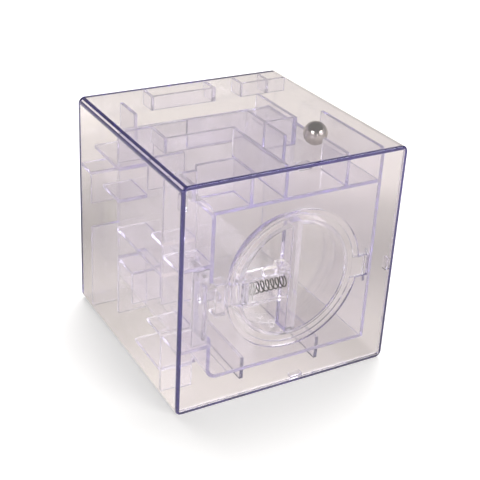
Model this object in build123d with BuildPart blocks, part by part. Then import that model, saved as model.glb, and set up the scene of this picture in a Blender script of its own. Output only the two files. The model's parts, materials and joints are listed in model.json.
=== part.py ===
from build123d import *

import os

# Tilt maze cube: a clear plastic cube with a ball maze in the gaps between its outer case and an inner
# vault, and a round latched hatch in the front. Millimetres. +Z is up, the hatch faces -Y, and the
# origin is the centre of the cube's underside.

# ---- driving dimensions ----
CUBE = 114.3  # outside edge of the cube
WALL = 1.7  # case thickness
PANEL = 2.3  # front panel thickness
SHEET = 1.9  # thickness of the vault's plates and of every maze wall
GLUE = 0.15  # gap between plates that are fitted to each other
EDGE_R, CAVITY_R = 3.4, 0.8  # outside and inside of the case's edges that run front to back
RIM_R = 0.7  # outside edges round the case's rear face and round its mouth
RAILS_X, RAIL_FRONT, RAIL_BACK = (-18.0, 24.0), -45.0, 38.0  # the two rails under the vault

HALF = CUBE / 2
INNER = HALF - WALL  # inside faces of the case, from the centre
LID_Z = CUBE - WALL  # underside of the case's top
PANEL_BACK = -HALF + PANEL  # back of the front panel

# ---- vault box, inside the case ----
VAULT_LEFT = -40.7  # outside face of the left plate
VAULT_RIGHT = 46.9  # outside face of the right partition
VAULT_BACK = 44.6
VAULT_TOP = 98.3
VAULT_FLOOR = 12.7  # underside of the vault's floor
VAULT_FRONT = -52.6  # front edges of all the vault's plates
CORNER_R = 6.0  # where the left plate turns under the vault
CORNER_FOOT = 5.0

# ---- ball ----
BALL_R = 6.0
BALL_X, BALL_Y = 38.3, -10.8
BALL_GAP = 0.15

# ---- maze grid: wall centre lines on the top and on the left side ----
X0, X1, X2, X3, X4 = -39.75, -21.8, -4.6, 12.5, 29.1
Y_BACK, Y_MIDDLE, Y_FRONT = 45.7, -5.7, -22.9
Z_TOP, Z1, Z2, Z3, Z4, Z5 = 95.35, 78.9, 63.4, 48.0, 32.6, 13.65
SIDE_Y0, SIDE_Y1, SIDE_Y2, SIDE_Y3 = 42.9, 26.3, 9.1, -7.4
CORNER_WALL_Y = -37.5  # the walls round the corner over the lock column
WALL_TIP = 0.2  # between a maze wall's free edge and the case
HUNG_DEPTH = 7.4  # walls that hang from the case's top, half as deep as the gap

# ---- lock column, in the front left corner ----
COLUMN_Y = -38.9  # centre of the wall that closes the column off
COLUMN_TOP_GAP = 2.0  # between that wall and the case's top
DOOR_LOW, DOOR_HIGH = 33.7, 48.9  # the ball's way through that wall
DOOR_BRIDGE = 0.9  # strip beside the way in, which keeps the wall in one piece
ROOF_Z = 73.75  # centre of the plate above the lock gate
DEFLECTOR_R, DEFLECTOR_DROP = 9.0, 1.0  # curved strip over the column; its end below the plate's top

# ---- lock gate: a flap that hangs in the column and is pushed aside by the ball ----
GATE_X, GATE_Z = -43.4, 68.5  # its pin
GATE_FRONT, GATE_BACK = -50.9, -43.1
GATE_THICK = 2.0
GATE_FOOT_Z, GATE_FOOT_R = 36.2, 0.8
GATE_HUB_R = 2.4
ARM_X, ARM_FRONT = (-36.6, -34.8), -53.3  # tip of the arm that reaches into the keeper
ARM_THICK, ARM_H, ARM_INSET = 3.0, 4.0, 0.3
WEB_X, WEB_FRONT, WEB_BACK = (-49.5, -41.6), -54.6, -53.6  # broad front of the gate, behind the panel
WEB_Z = (34.4, 72.0)
GATE_PIN_R = 1.0
GATE_PIN_GAP = 0.06
PIN_PROUD, PIN_CHAMFER = 0.3, 0.2
LUG_THICK = 1.4
WINDOW_Y, WINDOW_Z = (VAULT_FRONT, -42.4), (34.5, 63.5)

# ---- snap catches behind the front panel's rim, each given by its low and high x and z ----
CATCH_BACK, CATCH_THICK, CATCH_CHAMFER = -51.9, 1.5, 0.4
CATCHES = [
    ((-0.3, 6.2), (LID_Z - GLUE - CATCH_THICK, LID_Z - GLUE)),
    ((4.5, 11.0), (WALL + GLUE, WALL + GLUE + CATCH_THICK)),
    ((INNER - GLUE - CATCH_THICK, INNER - GLUE), (49.6, 56.1)),
    ((GLUE - INNER, GLUE - INNER + CATCH_THICK), (102.5, 109.5)),
]

# ---- round hatch in the front panel ----
HATCH_X, HATCH_Z = 1.3, 57.6
FLANGE_R, FLANGE_THICK = 34.6, 1.1
SEAT_R, SEAT_DEPTH = 35.1, 1.2  # the step in the panel that the flange lies in
PLUG_R = 32.0  # the thicker part of the ring, which lies in the mouth
MOUTH_R = 32.4  # the round hole through the panel
RING_THICK = 1.8
WELL_R, WELL_DEPTH, WELL_THICK = 27.7, 9.0, 1.7
GRIP_W = 5.2  # upright bar across the well
GRIP_SET_BACK, GRIP_EDGE_R = 0.4, 0.5
ROOT = 0.6  # how far one part of a moulding runs into the next

# ---- hinge at the hatch's right, and latch at its left ----
LATCH_Z = 55.4
HINGE_X, HINGE_Y, HINGE_Z = 40.6, -56.0, 56.2
HINGE_H = 10.4
HINGE_GAP = 0.35
LEAF_SET_BACK, LEAF_THICK = 0.1, 1.5
BARREL_R = 1.1
HINGE_PIN_R, HINGE_PIN_LENGTH = 0.55, 17.0
PIN_HOLE_R = 0.62

NOSE_H = 10.6
NOSE_FRONT, NOSE_BACK = -54.35, -50.6
NOSE_END = HATCH_X - 33.8
SLIDE_LEFT, SLIDE_RIGHT = -25.0, -22.2  # body of the bolt, inside the well
SLIDE_FRONT, SLIDE_BACK = -56.0, -49.6
NOSE_CHAMFER = 0.5
SLOT_GAP = 0.35
THUMB_FRONT, THUMB_THICK, THUMB_RIGHT = -56.6, 0.6, -18.4  # finger plate over the spring's end
RIB_W, RIB_PITCH, RIB_H, RIB_FRONT = 0.8, 1.9, 7.6, -57.1  # upright ribs on the finger plate
RIB_COUNT = 3

# The guide is a channel that opens to the front; the bolt and its spring lie in it.
GUIDE_LEFT, GUIDE_FRONT, GUIDE_THICK, GUIDE_FLOOR = -24.6, -56.3, 1.3, 1.0
GUIDE_GAP = 0.3  # between the bolt and the channel's walls
PAD_X, PAD_H, PAD_FRONT, PAD_BACK = (-14.7, -7.4), 3.0, -56.9, -54.2  # pad on the upper wall
STOP_X, STOP_H, STOP_BACK = (-6.4, -1.6), 3.6, -50.6  # block on the upper wall, beside the grip

SPRING_Y = -53.0
SPRING_R, SPRING_WIRE, SPRING_COILS = 2.5, 0.35, 8  # to the wire's centre; the wire's radius

KEEPER_X, KEEPER_H, KEEPER_THICK = (-38.4, -33.2), 17.0, 1.6
KEEPER_BACK, KEEPER_WEB = -49.0, 1.0

# ---- places that profiles and pins are drawn on ----
# Side plane: its x runs to the front (-Y), its y up, and it faces left.
SIDE = Plane(origin=(VAULT_LEFT, 0, 0), x_dir=(0, -1, 0), z_dir=(-1, 0, 0))
# Front plane: its x runs right, its y up, and it faces the back of the cube.
FACE = Plane(origin=(0, -HALF, 0), x_dir=(-1, 0, 0), z_dir=(0, 1, 0))
GATE_PIN_LINE = Location((GATE_X, (GATE_FRONT + GATE_BACK) / 2, GATE_Z), (90, 0, 0))
GATE_PIN_LENGTH = GATE_BACK - GATE_FRONT + 2 * (LUG_THICK + GLUE + PIN_PROUD)

os.makedirs("parts", exist_ok=True)


def keep(builder, name):
    """Labels a finished piece and writes its STEP file."""
    builder.part.label = name
    export_step(builder.part, f"parts/{name}.step")


def block(x, y, z, mode=Mode.ADD):
    """Adds or cuts a block given by its low and high x, y and z."""
    middle = [(low + high) / 2 for low, high in (x, y, z)]
    size = [abs(high - low) for low, high in (x, y, z)]
    with Locations(tuple(middle)):
        Box(*size, mode=mode)


def plan(runs):
    """Draws maze walls in the active sketch, each from one end of its centre line to the other."""
    for (a_start, b_start), (a_end, b_end) in runs:
        middle = ((a_start + a_end) / 2, (b_start + b_end) / 2)
        with Locations(middle):
            Rectangle(abs(a_end - a_start) + SHEET, abs(b_end - b_start) + SHEET)


def side(y, z):
    """A point of the side plane from its place in the cube."""
    return (-y, z)


# ---- outer case: five sides, open at the front, with two rails for the vault to stand on ----
with BuildPart() as cavity:
    block((-INNER, INNER), (-HALF, INNER), (WALL, LID_Z))
    fillet(cavity.edges().filter_by(Axis.Y), CAVITY_R)

with BuildPart() as outer_case:
    block((-HALF, HALF), (-HALF, HALF), (0, CUBE))
    fillet(outer_case.edges().filter_by(Axis.Y), EDGE_R)
    rear, mouth = outer_case.faces().sort_by(Axis.Y)[-1], outer_case.faces().sort_by(Axis.Y)[0]
    fillet(rear.edges() + mouth.edges(), RIM_R)
    add(cavity.part, mode=Mode.SUBTRACT)
    for rail_x in RAILS_X:
        block((rail_x, rail_x + SHEET), (RAIL_FRONT, RAIL_BACK), (WALL, VAULT_FLOOR - GLUE))
keep(outer_case, "outer_case")

# ---- front panel: closes the mouth of the case and carries the hatch ----
with BuildPart() as front_panel:
    block(
        (-INNER + GLUE, INNER - GLUE),
        (-HALF, PANEL_BACK),
        (WALL + GLUE, LID_Z - GLUE),
    )
    fillet(front_panel.edges().filter_by(Axis.Y), CAVITY_R)
    with BuildSketch(FACE):
        with Locations((-HATCH_X, HATCH_Z)):
            Circle(SEAT_R)
    extrude(amount=SEAT_DEPTH, mode=Mode.SUBTRACT)
    with BuildSketch(FACE):
        with Locations((-HATCH_X, HATCH_Z)):
            Circle(MOUTH_R)
    extrude(amount=PANEL, mode=Mode.SUBTRACT)
    hinge_slot_z = (HINGE_Z - HINGE_H / 2 - HINGE_GAP, HINGE_Z + HINGE_H / 2 + HINGE_GAP)
    hinge_slot_x = (HATCH_X + PLUG_R - ROOT, HINGE_X + BARREL_R + 2 * HINGE_GAP)
    block(hinge_slot_x, (-HALF, PANEL_BACK), hinge_slot_z, Mode.SUBTRACT)
    with Locations((HINGE_X, HINGE_Y, HINGE_Z)):
        Cylinder(PIN_HOLE_R, HINGE_PIN_LENGTH + 2 * GLUE, mode=Mode.SUBTRACT)
    for catch_x, catch_z in CATCHES:
        block(catch_x, (PANEL_BACK - ROOT, CATCH_BACK), catch_z)
    catch_edges = front_panel.edges().group_by(Axis.Y)[-1]
    chamfer(catch_edges, CATCH_CHAMFER)
keep(front_panel, "front_panel")

# ---- vault: tray, left plate, top plate and right partition ----
with BuildPart() as vault_tray:
    tray_x = (VAULT_LEFT + CORNER_R + CORNER_FOOT + GLUE, VAULT_RIGHT - SHEET - GLUE)
    block(tray_x, (VAULT_FRONT, VAULT_BACK), (VAULT_FLOOR, VAULT_FLOOR + SHEET))
    back_x = (VAULT_LEFT + SHEET + GLUE, tray_x[1])
    back_z = (VAULT_FLOOR + CORNER_R, VAULT_TOP - SHEET - GLUE)
    block(back_x, (VAULT_BACK - SHEET, VAULT_BACK), back_z)
    block(tray_x, (VAULT_BACK - SHEET, VAULT_BACK), (VAULT_FLOOR, back_z[0]))
keep(vault_tray, "vault_tray")

with BuildPart() as right_partition:
    partition_x = (VAULT_RIGHT - SHEET, VAULT_RIGHT)
    block(partition_x, (VAULT_FRONT, VAULT_BACK), (VAULT_FLOOR, VAULT_TOP))
    block(partition_x, (VAULT_FRONT, Y_MIDDLE + SHEET), (VAULT_TOP, LID_Z - WALL_TIP))
keep(right_partition, "right_partition")

# The walls that stand on the top plate, up to the case, by the ends of their centre lines. The last two
# run over the left gap and close it.
CASE_END = -INNER + WALL_TIP + SHEET / 2
PLATE_END = VAULT_FRONT + SHEET / 2
TOP_WALLS = [
    ((X0, 42.6), (X0, 27.6)),
    ((-19.3, 11.4), (X3, 11.4)),
    ((X3, 11.4), (X3, Y_FRONT)),
    ((X4, 28.9), (X4, Y_MIDDLE)),
    ((X3, Y_MIDDLE), (X4, Y_MIDDLE)),
    ((X2, -7.7), (X2, PLATE_END)),
    ((X0, CORNER_WALL_Y), (X1, CORNER_WALL_Y)),
    ((X1, CORNER_WALL_Y), (X1, PLATE_END)),
    ((27.4, -34.3), (27.4, PLATE_END)),
    ((CASE_END, SIDE_Y2), (X0, SIDE_Y2)),
    ((CASE_END, Y_FRONT), (X0, Y_FRONT)),
]
with BuildPart() as maze_top_plate:
    top_x = (VAULT_LEFT, VAULT_RIGHT - SHEET - GLUE)
    block(top_x, (VAULT_FRONT, VAULT_BACK), (VAULT_TOP - SHEET, VAULT_TOP))
    with BuildSketch(Plane.XY.offset(VAULT_TOP)):
        plan(TOP_WALLS)
    extrude(amount=LID_Z - WALL_TIP - VAULT_TOP)
    case_edges = maze_top_plate.edges().filter_by(Axis.Y).group_by(Axis.X)[0]
    fillet(case_edges.group_by(Axis.Z)[-1], CAVITY_R)
keep(maze_top_plate, "maze_top_plate")

# The walls that stand on the left plate, out to the case: shelves, uprights, then the lock column's
# floor and roof.
COLUMN_BACK = COLUMN_Y + SHEET
COLUMN_FRONT = COLUMN_Y - SHEET - GLUE
PANEL_END = PANEL_BACK + WALL_TIP + SHEET / 2
CASE_LOW_END = WALL + CAVITY_R + SHEET / 2
SIDE_WALLS = [
    (side(36.9, Z_TOP), side(SIDE_Y2, Z_TOP)),
    (side(-CASE_END, Z1), side(SIDE_Y0, Z1)),
    (side(SIDE_Y1, Z1), side(SIDE_Y2, Z1)),
    (side(-29.0, Z1), side(COLUMN_BACK, Z1)),
    (side(SIDE_Y2, Z2), side(COLUMN_BACK, Z2)),
    (side(SIDE_Y2, Z3), side(SIDE_Y3, Z3)),
    (side(-25.2, Z4), side(COLUMN_BACK, Z4)),
    (side(SIDE_Y0, Z1), side(SIDE_Y0, Z2)),
    (side(SIDE_Y0, Z3), side(SIDE_Y0, CASE_LOW_END)),
    (side(SIDE_Y2, Z3), side(SIDE_Y2, 18.2)),
    (side(SIDE_Y3, Z3), side(SIDE_Y3, Z4)),
    (side(COLUMN_FRONT, Z4), side(PANEL_END, Z4)),
    (side(COLUMN_FRONT, ROOF_Z), side(PANEL_END, ROOF_Z)),
]
LOW_SHELF_Y = (COLUMN_Y + SHEET / 2 + GLUE, -11.4)
SIDE_REACH = INNER - WALL_TIP + VAULT_LEFT  # from the plate's outside face to the walls' free edges
with BuildPart() as maze_left_plate:
    # The plate with its rounded foot, drawn from the front and run to the back.
    with BuildSketch(Plane.XZ.offset(-VAULT_BACK)):
        with BuildLine():
            left, bottom = VAULT_LEFT, VAULT_FLOOR
            top = VAULT_TOP - SHEET - GLUE
            foot = left + CORNER_R + CORNER_FOOT
            Polyline((left, bottom + CORNER_R), (left, top), (left + SHEET, top))
            Line((left + SHEET, top), (left + SHEET, bottom + CORNER_R))
            RadiusArc(
                (left + SHEET, bottom + CORNER_R),
                (left + CORNER_R, bottom + SHEET),
                -(CORNER_R - SHEET),
            )
            Polyline((left + CORNER_R, bottom + SHEET), (foot, bottom + SHEET), (foot, bottom))
            Line((foot, bottom), (left + CORNER_R, bottom))
            RadiusArc((left + CORNER_R, bottom), (left, bottom + CORNER_R), CORNER_R)
        make_face()
    extrude(amount=VAULT_BACK - VAULT_FRONT)
    with BuildSketch(SIDE):
        plan(SIDE_WALLS)
    extrude(amount=SIDE_REACH)
    # The lowest shelf, which runs in under the rounded foot.
    shelf_x = (-INNER + WALL_TIP, VAULT_LEFT + CORNER_R / 2)
    block(shelf_x, LOW_SHELF_Y, (Z5 - SHEET / 2, Z5 + SHEET / 2))
    # Lugs for the lock gate's pin, and the window that the gate swings into.
    lug_x = (GATE_X - GATE_HUB_R, VAULT_LEFT)
    lug_z = (GATE_Z - GATE_HUB_R, GATE_Z + GATE_HUB_R)
    for lug_y in (GATE_FRONT - GLUE - LUG_THICK, GATE_BACK + GLUE):
        block(lug_x, (lug_y, lug_y + LUG_THICK), lug_z)
    with Locations(GATE_PIN_LINE):
        Cylinder(GATE_PIN_R + GATE_PIN_GAP, 2 * GATE_PIN_LENGTH, mode=Mode.SUBTRACT)
    block((VAULT_LEFT, VAULT_LEFT + SHEET), WINDOW_Y, WINDOW_Z, Mode.SUBTRACT)
keep(maze_left_plate, "maze_left_plate")

# ---- walls that hang from the case's top ----
HUNG_TOP = LID_Z - GLUE
BACK_END = INNER - GLUE - SHEET / 2


def hung_wall(name, runs):
    """A strip of wall fixed under the case's top."""
    with BuildPart() as strip:
        with BuildSketch(Plane.XY.offset(HUNG_TOP - HUNG_DEPTH)):
            plan(runs)
        extrude(amount=HUNG_DEPTH)
        top_edges = strip.faces().sort_by(Axis.Z)[-1].edges()
        case_edges = top_edges.filter_by(lambda e: e.center().X > INNER - WALL_TIP)
        if case_edges:
            fillet(case_edges, CAVITY_R)
    keep(strip, name)


LEFT_X = -22.1
RIGHT_Y, RIGHT_X = 46.2, 44.7
hung_wall(
    "lid_wall_back_left",
    [
        ((LEFT_X, BACK_END), (LEFT_X, Y_BACK)),
        ((LEFT_X, Y_BACK), (X3, Y_BACK)),
        ((X3, Y_BACK), (X3, BACK_END)),
    ],
)
hung_wall(
    "lid_wall_back_right",
    [
        ((X4, BACK_END), (X4, RIGHT_Y)),
        ((X4, RIGHT_Y), (BACK_END, RIGHT_Y)),
        ((RIGHT_X, RIGHT_Y), (RIGHT_X, BACK_END)),
    ],
)
hung_wall("lid_wall_middle", [((X0, 7.0), (X0, Y_MIDDLE)), ((X0, Y_MIDDLE), (X2, Y_MIDDLE))])

# ---- lock column: its wall, with the ball's way in, and the deflector over it ----
COLUMN_X = (-INNER + WALL_TIP, VAULT_LEFT - GLUE)
with BuildPart() as column_wall:
    column_y = (COLUMN_Y - SHEET / 2, COLUMN_Y + SHEET / 2)
    block(COLUMN_X, column_y, (WALL + WALL_TIP, LID_Z - COLUMN_TOP_GAP))
    low_edges = column_wall.edges().filter_by(Axis.Y).group_by(Axis.Z)[0]
    fillet(low_edges.sort_by(Axis.X)[0], CAVITY_R)
    block(COLUMN_X, column_y, (DOOR_LOW, DOOR_HIGH), Mode.SUBTRACT)
    block((COLUMN_X[1] - DOOR_BRIDGE, COLUMN_X[1]), column_y, (DOOR_LOW, DOOR_HIGH))
keep(column_wall, "column_wall")

with BuildPart() as ball_deflector:
    low = (COLUMN_X[1], VAULT_TOP - DEFLECTOR_DROP)
    high = (low[0] - DEFLECTOR_R, low[1] + DEFLECTOR_R)
    deflector_back = COLUMN_Y - SHEET / 2 - GLUE
    with BuildSketch(Plane.XZ.offset(-deflector_back)):
        with BuildLine():
            RadiusArc(low, high, -DEFLECTOR_R)
            Polyline(high, (high[0], LID_Z - WALL_TIP), (high[0] - SHEET, LID_Z - WALL_TIP))
            Line((high[0] - SHEET, LID_Z - WALL_TIP), (high[0] - SHEET, high[1]))
            RadiusArc((high[0] - SHEET, high[1]), (low[0], low[1] - SHEET), DEFLECTOR_R + SHEET)
            Line((low[0], low[1] - SHEET), low)
        make_face()
    extrude(amount=deflector_back - (PANEL_BACK + WALL_TIP))
keep(ball_deflector, "ball_deflector")

# ---- lock gate and its pin ----
with BuildPart() as lock_gate:
    gate_y = (GATE_FRONT, GATE_BACK)
    gate_x = (GATE_X - GATE_THICK / 2, GATE_X + GATE_THICK / 2)
    block(gate_x, gate_y, (GATE_FOOT_Z, GATE_Z))
    block(gate_x, (WEB_BACK, GATE_FRONT), (GATE_FOOT_Z, WINDOW_Z[1]))
    foot_edges = lock_gate.edges().filter_by(Axis.Y).group_by(Axis.Z)[0]
    fillet(foot_edges, GATE_FOOT_R)
    block(WEB_X, (WEB_FRONT, WEB_BACK), WEB_Z)
    arm_y = (GATE_FRONT + ARM_INSET, GATE_FRONT + ARM_INSET + ARM_THICK)
    arm_z = (LATCH_Z - ARM_H / 2, LATCH_Z + ARM_H / 2)
    block((gate_x[1], ARM_X[1]), arm_y, arm_z)
    block(ARM_X, (ARM_FRONT, arm_y[1]), arm_z)
    with Locations(GATE_PIN_LINE):
        Cylinder(GATE_HUB_R, GATE_BACK - GATE_FRONT)
        Cylinder(GATE_PIN_R + GATE_PIN_GAP, GATE_BACK - GATE_FRONT, mode=Mode.SUBTRACT)
keep(lock_gate, "lock_gate")

with BuildPart() as gate_pin:
    with Locations(GATE_PIN_LINE):
        Cylinder(GATE_PIN_R, GATE_PIN_LENGTH)
    chamfer(gate_pin.edges(), PIN_CHAMFER)
keep(gate_pin, "gate_pin")

# ---- hatch: flange, well with its grip, and the hinge leaf, in one moulding ----
with BuildPart() as hatch:
    with BuildSketch(Plane(origin=(HATCH_X, 0, HATCH_Z), x_dir=(1, 0, 0), z_dir=(0, 0, 1))):
        # Half of the round section, radius along x and depth along y.
        with BuildLine():
            front_y = -HALF
            Polyline(
                (WELL_R, front_y + WELL_DEPTH),
                (WELL_R, front_y),
                (FLANGE_R, front_y),
                (FLANGE_R, front_y + FLANGE_THICK),
                (PLUG_R, front_y + FLANGE_THICK),
                (PLUG_R, front_y + RING_THICK),
                (WELL_R + WELL_THICK, front_y + RING_THICK),
                (WELL_R + WELL_THICK, front_y + WELL_DEPTH + WELL_THICK),
                (0, front_y + WELL_DEPTH + WELL_THICK),
                (0, front_y + WELL_DEPTH),
                (WELL_R, front_y + WELL_DEPTH),
            )
        make_face()
    revolve(axis=Axis((HATCH_X, 0, HATCH_Z), (0, 1, 0)))
    # The grip bar reaches into the well's wall at both ends.
    grip_x = (HATCH_X - GRIP_W / 2, HATCH_X + GRIP_W / 2)
    grip_z = (HATCH_Z - WELL_R - ROOT, HATCH_Z + WELL_R + ROOT)
    grip_front = -HALF + GRIP_SET_BACK
    block(grip_x, (grip_front, -HALF + WELL_DEPTH), grip_z)
    grip_face = hatch.faces().filter_by(Axis.Y).sort_by(lambda f: abs(f.center().Y - grip_front))[0]
    fillet(grip_face.edges().filter_by(Axis.Z), GRIP_EDGE_R)
    # Hinge leaf and barrel.
    leaf_z = (HINGE_Z - HINGE_H / 2, HINGE_Z + HINGE_H / 2)
    leaf_front = -HALF + LEAF_SET_BACK
    block((HATCH_X + PLUG_R - ROOT, HINGE_X), (leaf_front, leaf_front + LEAF_THICK), leaf_z)
    with Locations((HINGE_X, HINGE_Y, HINGE_Z)):
        Cylinder(BARREL_R, HINGE_H)
        Cylinder(PIN_HOLE_R, HINGE_H, mode=Mode.SUBTRACT)
    # The way through the well's wall for the bolt's nose.
    slot_y = (NOSE_FRONT - SLOT_GAP, NOSE_BACK + SLOT_GAP)
    slot_z = (LATCH_Z - NOSE_H / 2 - SLOT_GAP, LATCH_Z + NOSE_H / 2 + SLOT_GAP)
    block((HATCH_X - SEAT_R, HATCH_X - WELL_R + WELL_THICK), slot_y, slot_z, Mode.SUBTRACT)
keep(hatch, "hatch")

with BuildPart() as hinge_pin:
    with Locations((HINGE_X, HINGE_Y, HINGE_Z)):
        Cylinder(HINGE_PIN_R, HINGE_PIN_LENGTH)
keep(hinge_pin, "hinge_pin")

# ---- latch: bolt, guide and spring, all in the hatch's well ----
GRIP_LEFT = HATCH_X - GRIP_W / 2
WELL_FLOOR = -HALF + WELL_DEPTH

with BuildPart() as latch_bolt:
    nose_z = (LATCH_Z - NOSE_H / 2, LATCH_Z + NOSE_H / 2)
    block((NOSE_END, SLIDE_LEFT + ROOT), (NOSE_FRONT, NOSE_BACK), nose_z)
    chamfer(latch_bolt.edges().filter_by(Axis.Z).sort_by(Axis.X)[:2], NOSE_CHAMFER)
    block((SLIDE_LEFT, SLIDE_RIGHT), (SLIDE_FRONT, SLIDE_BACK), nose_z)
    block((SLIDE_LEFT, THUMB_RIGHT), (THUMB_FRONT, THUMB_FRONT + THUMB_THICK), nose_z)
    for number in range(RIB_COUNT):
        rib_left = (SLIDE_LEFT + THUMB_RIGHT - RIB_W) / 2 + (number - (RIB_COUNT - 1) / 2) * RIB_PITCH
        rib_z = (LATCH_Z - RIB_H / 2, LATCH_Z + RIB_H / 2)
        block((rib_left, rib_left + RIB_W), (RIB_FRONT, THUMB_FRONT), rib_z)
keep(latch_bolt, "latch_bolt")

with BuildPart() as latch_guide:
    inside_z = (nose_z[0] - GUIDE_GAP, nose_z[1] + GUIDE_GAP)
    guide_z = (inside_z[0] - GUIDE_THICK, inside_z[1] + GUIDE_THICK)
    guide_x = (GUIDE_LEFT, GRIP_LEFT - GLUE)
    block(guide_x, (GUIDE_FRONT, WELL_FLOOR - GLUE), guide_z)
    block(guide_x, (GUIDE_FRONT, WELL_FLOOR - GLUE - GUIDE_FLOOR), inside_z, Mode.SUBTRACT)
    block(PAD_X, (PAD_FRONT, PAD_BACK), (inside_z[1], guide_z[1] + PAD_H))
    block(STOP_X, (PAD_FRONT, STOP_BACK), (inside_z[1], guide_z[1] + STOP_H))
keep(latch_guide, "latch_guide")

with BuildPart() as latch_spring:
    spring_left = SLIDE_RIGHT + SPRING_WIRE + GLUE
    spring_length = GRIP_LEFT - SPRING_WIRE - GLUE - spring_left
    with BuildLine():
        coil = Helix(
            spring_length / SPRING_COILS,
            spring_length,
            SPRING_R,
            center=(spring_left, SPRING_Y, LATCH_Z),
            direction=(1, 0, 0),
        )
    with BuildSketch(Plane(origin=coil @ 0, z_dir=coil % 0)):
        Circle(SPRING_WIRE)
    sweep(is_frenet=True)
keep(latch_spring, "latch_spring")

# ---- keeper: a channel fixed behind the panel, beside the hatch, that the gate's arm runs in ----
with BuildPart() as latch_keeper:
    keeper_z = (LATCH_Z - KEEPER_H / 2, LATCH_Z + KEEPER_H / 2)
    keeper_front = PANEL_BACK + GLUE
    block(KEEPER_X, (keeper_front, KEEPER_BACK), keeper_z)
    hollow_z = (keeper_z[0] + KEEPER_THICK, keeper_z[1] - KEEPER_THICK)
    block(KEEPER_X, (keeper_front + KEEPER_WEB, KEEPER_BACK), hollow_z, Mode.SUBTRACT)
keep(latch_keeper, "latch_keeper")

# ---- ball ----
with BuildPart() as ball:
    with Locations((BALL_X, BALL_Y, VAULT_TOP + BALL_R + BALL_GAP)):
        Sphere(BALL_R)
keep(ball, "ball")
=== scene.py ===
import json
import math

import bmesh
import bpy
from mathutils import Matrix, Vector


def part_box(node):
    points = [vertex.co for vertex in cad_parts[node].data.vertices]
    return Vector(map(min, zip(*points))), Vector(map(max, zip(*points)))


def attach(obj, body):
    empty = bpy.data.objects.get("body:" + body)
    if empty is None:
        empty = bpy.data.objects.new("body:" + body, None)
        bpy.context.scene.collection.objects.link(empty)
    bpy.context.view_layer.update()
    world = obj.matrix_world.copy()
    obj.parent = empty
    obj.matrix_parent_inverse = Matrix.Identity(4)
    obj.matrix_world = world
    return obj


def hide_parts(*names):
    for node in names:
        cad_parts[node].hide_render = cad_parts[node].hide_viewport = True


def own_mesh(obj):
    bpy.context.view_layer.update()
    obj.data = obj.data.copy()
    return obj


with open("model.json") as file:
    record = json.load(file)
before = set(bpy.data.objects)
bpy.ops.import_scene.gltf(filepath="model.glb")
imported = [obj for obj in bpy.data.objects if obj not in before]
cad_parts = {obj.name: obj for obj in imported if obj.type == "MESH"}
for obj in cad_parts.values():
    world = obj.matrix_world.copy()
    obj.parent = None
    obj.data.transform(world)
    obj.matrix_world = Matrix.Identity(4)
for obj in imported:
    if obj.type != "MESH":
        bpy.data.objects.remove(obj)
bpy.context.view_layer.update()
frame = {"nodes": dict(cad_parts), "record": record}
MM = 0.001

# ---- camera ----
CAMERA_AT = Vector((-0.2254, -0.3833, 0.2868))
CAMERA_TARGET = Vector((-0.0107, 0.0118, 0.0680))
CAMERA_ROLL = math.radians(2.2)
CAMERA_LENS = 75.66
CAMERA_SHIFT = (0.081, -0.079)

camera = bpy.data.objects.new("camera", bpy.data.cameras.new("camera"))
bpy.context.collection.objects.link(camera)
camera.data.lens = CAMERA_LENS
camera.data.sensor_width = 36.0
camera.data.shift_x, camera.data.shift_y = CAMERA_SHIFT
camera.data.clip_start, camera.data.clip_end = 0.01, 20.0
look = (CAMERA_TARGET - CAMERA_AT).to_track_quat("-Z", "Y").to_matrix().to_4x4()
camera.matrix_world = Matrix.Translation(CAMERA_AT) @ look @ Matrix.Rotation(CAMERA_ROLL, 4, "Z")
bpy.context.scene.camera = camera

scene = bpy.context.scene
scene.view_settings.view_transform = "Standard"
scene.view_settings.look = "None"
# Light crosses many clear walls before it leaves the cube.
scene.cycles.max_bounces = 100
scene.cycles.transmission_bounces = 100
scene.cycles.glossy_bounces = 60
scene.cycles.diffuse_bounces = 3
scene.cycles.transparent_max_bounces = 24


# ---- materials ----
def set_inputs(node, **values):
    """Set a node's sockets by name, written with an underscore for each space."""
    for name, value in values.items():
        node.inputs[name.replace("_", " ")].default_value = value
    return node


def material(name):
    """A node material with one Principled shader; returns it, its tree and the shader."""
    made = bpy.data.materials.new(name)
    made.use_nodes = True
    shader = made.node_tree.nodes["Principled BSDF"]
    return made, made.node_tree, shader


PLASTIC_IOR = 1.59  # polystyrene
CLOUD_SCALE, CLOUD_DETAIL = 45.0, 5.0  # patches of haze, about 20 mm across
ROUGHEST = 0.035  # where the cloud is thickest
THIN_HAZE, THICK_HAZE = 0.75, 1.35  # times the haze share, where the cloud is thin and where it is thick
FLOW_SCALE, FLOW_DETAIL = 22.0, 2.0  # slow waves left by the moulding
FLOW_HEIGHT = 1.0 * MM


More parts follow.
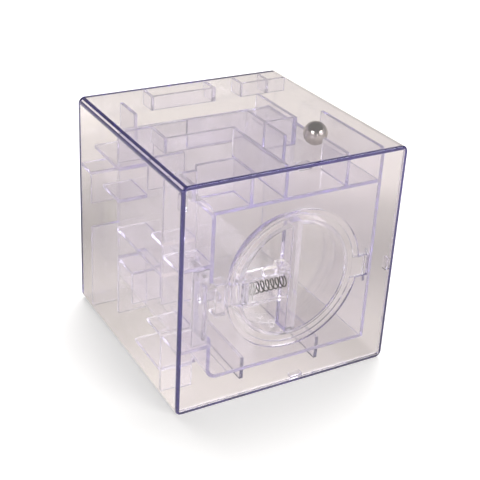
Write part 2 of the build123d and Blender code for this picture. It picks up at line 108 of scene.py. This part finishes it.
def clear_plastic(name, absorb, density, haze_share, haze_colour, waviness, painted_glow, painted_glow_colour):
    """Clear moulded plastic: it bends light, deepens in colour along its edges, carries a faint haze, and has
    a painted glow that lightens it as if lit from within.
    """
    made, tree, shader = material(name)
    new, link = tree.nodes.new, tree.links.new
    # Painted light: the emission gives the plastic a faint glow of its own, standing in for light scattered
    # in its haze.
    set_inputs(shader, IOR=PLASTIC_IOR, Emission_Color=(*painted_glow_colour, 1), Emission_Strength=painted_glow)
    place = new("ShaderNodeTexCoord")
    cloud = set_inputs(new("ShaderNodeTexNoise"), Scale=CLOUD_SCALE, Detail=CLOUD_DETAIL)
    link(place.outputs["Object"], cloud.inputs["Vector"])

    rough = set_inputs(new("ShaderNodeMapRange"), From_Min=0.4, From_Max=0.8, To_Min=0.0, To_Max=ROUGHEST)
    link(cloud.outputs["Fac"], rough.inputs["Value"])
    link(rough.outputs["Result"], shader.inputs["Roughness"])

    clarity = set_inputs(new("ShaderNodeMapRange"), From_Min=0.3, From_Max=0.75)
    set_inputs(clarity, To_Min=1.0 - THIN_HAZE * haze_share, To_Max=1.0 - THICK_HAZE * haze_share)
    link(cloud.outputs["Fac"], clarity.inputs["Value"])
    link(clarity.outputs["Result"], shader.inputs["Transmission Weight"])

    colour = set_inputs(new("ShaderNodeMixRGB"), Color1=(*CLEAR_TINT, 1), Color2=(*haze_colour, 1))
    link(cloud.outputs["Fac"], colour.inputs["Fac"])
    link(colour.outputs["Color"], shader.inputs["Base Color"])

    flow = set_inputs(new("ShaderNodeTexNoise"), Scale=FLOW_SCALE, Detail=FLOW_DETAIL)
    link(place.outputs["Object"], flow.inputs["Vector"])
    bump = set_inputs(new("ShaderNodeBump"), Strength=waviness, Distance=FLOW_HEIGHT)
    link(flow.outputs["Fac"], bump.inputs["Height"])
    link(bump.outputs["Normal"], shader.inputs["Normal"])

    volume = set_inputs(new("ShaderNodeVolumeAbsorption"), Color=(*absorb, 1), Density=density)
    link(volume.outputs["Volume"], tree.nodes["Material Output"].inputs["Volume"])
    return made


GRAIN_SCALE = 900.0  # drawing and grinding marks, about 1 mm
SMOOTHEST, COARSEST = 0.6, 1.6  # times the metal's roughness


def metal(name, colour, roughness):
    """Bare metal whose polish varies with a fine grain."""
    made, tree, shader = material(name)
    new, link = tree.nodes.new, tree.links.new
    set_inputs(shader, Metallic=1.0, Base_Color=(*colour, 1))
    place = new("ShaderNodeTexCoord")
    grain = set_inputs(new("ShaderNodeTexNoise"), Scale=GRAIN_SCALE)
    link(place.outputs["Object"], grain.inputs["Vector"])
    rough = set_inputs(new("ShaderNodeMapRange"), To_Min=roughness * SMOOTHEST, To_Max=roughness * COARSEST)
    link(grain.outputs["Fac"], rough.inputs["Value"])
    link(rough.outputs["Result"], shader.inputs["Roughness"])
    return made


CLEAR_TINT = (0.99, 0.985, 0.98)
HAZE = (0.95, 0.93, 0.95)
LOCK_HAZE = (0.93, 0.92, 0.99)
CASE_ABSORB = (0.36, 0.28, 0.72)
MAZE_ABSORB = (0.38, 0.28, 0.88)
# Colours of the painted glow: pale for the maze, hatch and lock plastics, indigo for the case.
PAINTED_PALE_GLOW = (1.0, 0.93, 0.94)
PAINTED_INDIGO_GLOW = (0.40, 0.38, 1.0)
LOOKS = {
    "case_plastic": clear_plastic(
        "case_plastic", absorb=CASE_ABSORB, density=30.0, haze_share=0.008, haze_colour=HAZE,
        waviness=0.0, painted_glow=0.005, painted_glow_colour=PAINTED_INDIGO_GLOW,
    ),
    "maze_plastic": clear_plastic(
        "maze_plastic", absorb=MAZE_ABSORB, density=24.0, haze_share=0.08, haze_colour=HAZE,
        waviness=0.0, painted_glow=0.052, painted_glow_colour=PAINTED_PALE_GLOW,
    ),
    "hatch_plastic": clear_plastic(
        "hatch_plastic", absorb=MAZE_ABSORB, density=12.0, haze_share=0.02, haze_colour=HAZE,
        waviness=0.005, painted_glow=0.017, painted_glow_colour=PAINTED_PALE_GLOW,
    ),
    "lock_plastic": clear_plastic(
        "lock_plastic", absorb=MAZE_ABSORB, density=20.0, haze_share=0.12, haze_colour=LOCK_HAZE,
        waviness=0.30, painted_glow=0.026, painted_glow_colour=PAINTED_PALE_GLOW,
    ),
    "spring_steel": metal("spring_steel", (0.16, 0.155, 0.15), 0.22),
    "pin_steel": metal("pin_steel", (0.6, 0.6, 0.62), 0.3),
    "ball_steel": metal("ball_steel", (0.54, 0.505, 0.455), 0.04),
}

# ---- pieces ----
SLOT_OF = {part["node"]: part["material_slot"] for part in frame["record"]["subparts"]}
BODY_OF = {node: body for body, nodes in frame["record"]["behaviour"]["bodies"].items() for node in nodes}
WELD = 2e-6  # corners of the CAD mesh closer than this are one
FLAT = math.radians(0.3)  # faces that turn by less are merged
SHARP = math.radians(40)  # edges that turn by more are rounded


def softened(node, width):
    """Stand a copy of a CAD node in its place, with its sharp edges rounded as a moulding's are."""
    mesh = bpy.data.meshes.new(node + "_sharp")
    shape = bmesh.new()
    shape.from_mesh(frame["nodes"][node].data)
    bmesh.ops.remove_doubles(shape, verts=shape.verts, dist=WELD)
    bmesh.ops.dissolve_limit(shape, angle_limit=FLAT, verts=shape.verts, edges=shape.edges)
    for face in shape.faces:
        face.smooth = True
    shape.to_mesh(mesh)
    shape.free()
    piece = bpy.data.objects.new(node + "_moulded", mesh)
    bpy.context.collection.objects.link(piece)
    rounding = piece.modifiers.new("rounding", "BEVEL")
    rounding.width = width
    rounding.segments = 2
    rounding.limit_method = "ANGLE"
    rounding.angle_limit = SHARP
    flatness = piece.modifiers.new("flatness", "WEIGHTED_NORMAL")
    flatness.mode = "FACE_AREA"
    flatness.weight = 100
    flatness.keep_sharp = True
    bpy.context.view_layer.update()
    solid = piece.evaluated_get(bpy.context.evaluated_depsgraph_get())
    rounded = bpy.data.meshes.new_from_object(solid)
    piece.modifiers.clear()
    piece.data = rounded
    rounded.name = node + "_moulded"
    rounded.materials.clear()
    rounded.materials.append(LOOKS[SLOT_OF[node]])
    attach(piece, BODY_OF[node])
    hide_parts(node)


SOFT_EDGE = {
    "front_panel": 0.3 * MM,
    "vault_tray": 0.25 * MM,
    "right_partition": 0.25 * MM,
    "maze_top_plate": 0.25 * MM,
    "maze_left_plate": 0.25 * MM,
    "lid_wall_back_left": 0.25 * MM,
    "lid_wall_back_right": 0.25 * MM,
    "lid_wall_middle": 0.25 * MM,
    "column_wall": 0.25 * MM,
    "ball_deflector": 0.25 * MM,
    "latch_keeper": 0.2 * MM,
    "lock_gate": 0.2 * MM,
    "hatch": 0.25 * MM,
    "latch_guide": 0.15 * MM,
    "latch_bolt": 0.2 * MM,
}
for node, obj in frame["nodes"].items():
    if node in SOFT_EDGE:
        softened(node, SOFT_EDGE[node])
    elif node != "latch_spring":
        obj.data.materials.clear()
        obj.data.materials.append(LOOKS[SLOT_OF[node]])

# ---- latch spring: open coils with a closed turn at each end, as springs are wound ----
spring_low, spring_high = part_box("latch_spring")
WIRE_R = 0.31 * MM
COIL_R = (spring_high[2] - spring_low[2]) / 2 - WIRE_R
CLOSED_TURNS, OPEN_TURNS = 0.75, 7.5
CLOSED_PITCH = 2.05 * WIRE_R
TURN_STEPS, WIRE_SIDES = 28, 10

spring_axis = ((spring_low[1] + spring_high[1]) / 2, (spring_low[2] + spring_high[2]) / 2)
coil_left, coil_right = spring_low[0] + WIRE_R, spring_high[0] - WIRE_R
open_pitch = (coil_right - coil_left - 2 * CLOSED_TURNS * CLOSED_PITCH) / OPEN_TURNS


def coil_point(turns):
    """Place on the wire's centre line, so many turns from the left end, and the angle there."""
    closed = min(turns, CLOSED_TURNS) + max(0.0, turns - CLOSED_TURNS - OPEN_TURNS)
    opened = min(max(0.0, turns - CLOSED_TURNS), OPEN_TURNS)
    angle = 2 * math.pi * turns
    x = coil_left + closed * CLOSED_PITCH + opened * open_pitch
    y = spring_axis[0] + COIL_R * math.sin(angle)
    z = spring_axis[1] + COIL_R * math.cos(angle)
    return Vector((x, y, z)), angle


spring_mesh = bpy.data.meshes.new("latch_spring_coil")
shape = bmesh.new()
rings = []
step_count = round((2 * CLOSED_TURNS + OPEN_TURNS) * TURN_STEPS)
for step in range(step_count + 1):
    centre, angle = coil_point(step / TURN_STEPS)
    outward = Vector((0, math.sin(angle), math.cos(angle)))
    along = Vector((1, 0, 0))
    ring = []
    for side in range(WIRE_SIDES):
        turn = 2 * math.pi * side / WIRE_SIDES
        ring.append(shape.verts.new(centre + WIRE_R * (math.cos(turn) * outward + math.sin(turn) * along)))
    rings.append(ring)
for before, after in zip(rings, rings[1:]):
    for side in range(WIRE_SIDES):
        beside = (side + 1) % WIRE_SIDES
        shape.faces.new((before[side], before[beside], after[beside], after[side])).smooth = True
shape.faces.new(rings[0][::-1])
shape.faces.new(rings[-1])
bmesh.ops.recalc_face_normals(shape, faces=shape.faces)
shape.to_mesh(spring_mesh)
shape.free()
spring_mesh.materials.append(LOOKS["spring_steel"])
spring = bpy.data.objects.new("latch_spring_coil", spring_mesh)
bpy.context.collection.objects.link(spring)
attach(spring, BODY_OF["latch_spring"])
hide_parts("latch_spring")
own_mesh(spring)

# ---- floor ----
FLOOR_HALF = 3.0
FLOOR_DROP = 0.2 * MM  # below the cube's underside
BEHIND = (0.5, 0.866, 0.0)  # the way that the camera looks, along the floor
# Paper as the eye sees it: lit past white.
WHITE_PAPER, WHITE_LIFT, LIFT_STRENGTH = (0.79, 0.785, 0.78, 1), (1.0, 0.99, 0.985, 1), 0.33
# Paper as seen through the plastic: a warm grey. Its shade goes by the distance in metres behind the cube's
# middle, because the light pools under the front of the cube and again well behind it.
GREY_PAPER, PAPER_TINT = (0.05, 0.047, 0.043, 1), (1.0, 0.94, 0.83)
PAPER_NEAR, PAPER_FAR = -0.1, 0.4
PAPER_SHADES = [(-0.06, 0.98), (0.0, 0.74), (0.09, 0.42), (0.14, 0.54), (0.2, 0.93), (0.3, 1.08), (0.4, 1.02)]

floor_mesh = bpy.data.meshes.new("floor")
shape = bmesh.new()
bmesh.ops.create_grid(shape, x_segments=1, y_segments=1, size=FLOOR_HALF)
shape.to_mesh(floor_mesh)
shape.free()
floor = bpy.data.objects.new("floor", floor_mesh)
bpy.context.collection.objects.link(floor)
floor.location.z = -FLOOR_DROP
floor_look, tree, white = material("floor_paper")
set_inputs(white, Base_Color=WHITE_PAPER, Emission_Color=WHITE_LIFT, Emission_Strength=LIFT_STRENGTH)
grey = set_inputs(tree.nodes.new("ShaderNodeBsdfPrincipled"), Base_Color=GREY_PAPER, Emission_Strength=1.0)
for paper in (white, grey):
    set_inputs(paper, Roughness=0.9, Specular_IOR_Level=0.0)
paper_place = tree.nodes.new("ShaderNodeTexCoord")
paper_depth = tree.nodes.new("ShaderNodeVectorMath")
paper_depth.operation = "DOT_PRODUCT"
paper_depth.inputs[1].default_value = BEHIND
tree.links.new(paper_place.outputs["Object"], paper_depth.inputs[0])
paper_fall = set_inputs(tree.nodes.new("ShaderNodeMapRange"), From_Min=PAPER_NEAR, From_Max=PAPER_FAR)
tree.links.new(paper_depth.outputs["Value"], paper_fall.inputs["Value"])
paper_ramp = tree.nodes.new("ShaderNodeValToRGB")
paper_ramp.color_ramp.interpolation = "EASE"
stops = paper_ramp.color_ramp.elements
stops.remove(stops[-1])
for number, (depth, shade) in enumerate(PAPER_SHADES):
    position = (depth - PAPER_NEAR) / (PAPER_FAR - PAPER_NEAR)
    stop = stops.new(position) if number else stops[0]
    stop.position = position
    stop.color = (*(shade * part for part in PAPER_TINT), 1)
tree.links.new(paper_fall.outputs["Result"], paper_ramp.inputs["Fac"])
tree.links.new(paper_ramp.outputs["Color"], grey.inputs["Emission Color"])
path = tree.nodes.new("ShaderNodeLightPath")
pick = tree.nodes.new("ShaderNodeMixShader")
tree.links.new(path.outputs["Is Camera Ray"], pick.inputs["Fac"])
tree.links.new(grey.outputs["BSDF"], pick.inputs[1])
tree.links.new(white.outputs["BSDF"], pick.inputs[2])
tree.links.new(pick.outputs["Shader"], tree.nodes["Material Output"].inputs["Surface"])
floor_mesh.materials.append(floor_look)

# ---- room: a pale wall low behind the object, and a dark ceiling and dim room for the ball to mirror ----
WALL_WAY = (0.5, 0.866, -1.7)  # towards the wall, and down
WALL_FULL = 0.7  # how far that way the wall is at its brightest
ROOM_DARK, WALL_BRIGHT = (0.035, 0.031, 0.024, 1), (0.95, 0.92, 0.84, 1)

world = bpy.data.worlds.new("studio")
world.use_nodes = True
scene.world = world
sky = world.node_tree
background = set_inputs(sky.nodes["Background"], Strength=1.0)
direction = sky.nodes.new("ShaderNodeTexCoord")
facing = sky.nodes.new("ShaderNodeVectorMath")
facing.operation = "DOT_PRODUCT"
facing.inputs[1].default_value = WALL_WAY
sky.links.new(direction.outputs["Generated"], facing.inputs[0])
room = sky.nodes.new("ShaderNodeValToRGB")
dim, bright = room.color_ramp.elements
dim.position, dim.color = 0.0, ROOM_DARK
bright.position, bright.color = WALL_FULL, WALL_BRIGHT
sky.links.new(facing.outputs["Value"], room.inputs["Fac"])
sky.links.new(room.outputs["Color"], background.inputs["Color"])

# ---- lights ----
LAMP_AIM = Vector((0, 0, 0.06))  # about the middle of the cube


def softbox(name, azimuth, elevation, distance, size, power):
    """A square studio light facing the object. Azimuth is in degrees to the right of the hatch's side."""
    data = bpy.data.lights.new(name, "AREA")
    data.shape = "SQUARE"
    data.size = size
    data.energy = power
    lamp = bpy.data.objects.new(name, data)
    bpy.context.collection.objects.link(lamp)
    around, up = math.radians(azimuth), math.radians(elevation)
    away = Vector((math.sin(around) * math.cos(up), -math.cos(around) * math.cos(up), math.sin(up)))
    lamp.location = LAMP_AIM + away * distance
    lamp.rotation_euler = (-away).to_track_quat("-Z", "Y").to_euler()
    return lamp


softbox("softbox_left", azimuth=-63, elevation=21, distance=1.5, size=0.8, power=11)
softbox("softbox_right", azimuth=26, elevation=19, distance=1.5, size=0.9, power=14)
# The top light is for the paper only: the ball and the plastic don't show it.
overhead = softbox("softbox_top", azimuth=150, elevation=62, distance=2.2, size=2.0, power=70)
overhead.visible_glossy = False
overhead.visible_transmission = False
